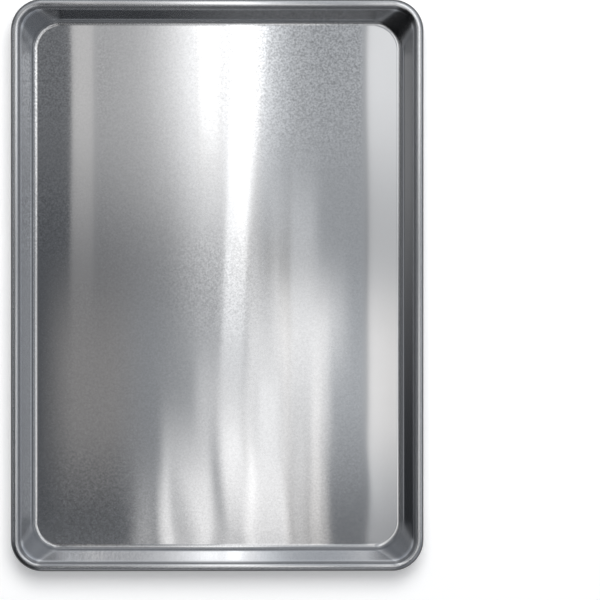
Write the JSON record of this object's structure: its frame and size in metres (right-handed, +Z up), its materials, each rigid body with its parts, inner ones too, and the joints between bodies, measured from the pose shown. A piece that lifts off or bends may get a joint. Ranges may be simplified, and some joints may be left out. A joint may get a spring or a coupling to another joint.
{
  "type": "jelly roll pan",
  "caption": "Shallow rectangular aluminium baking pan with sloping walls, rounded corners and a rolled rim over a stiffening wire.",
  "frame": {"origin": "middle of the floor's underside, on the surface that the pan stands on", "axes": "+X across the pan, +Y along its length, +Z up out of its open side"},
  "size_m": [0.3274, 0.454, 0.0254],
  "materials": {
    "aluminium_sheet": "natural bright rolled aluminium with a fine grain along the pan",
    "galvanised_wire": "drawn steel wire with a dull zinc coat"
  },
  "bodies": {
    "root": {"pan_body": "aluminium_sheet", "rim_wire": "galvanised_wire"}
  },
  "joints": []
}
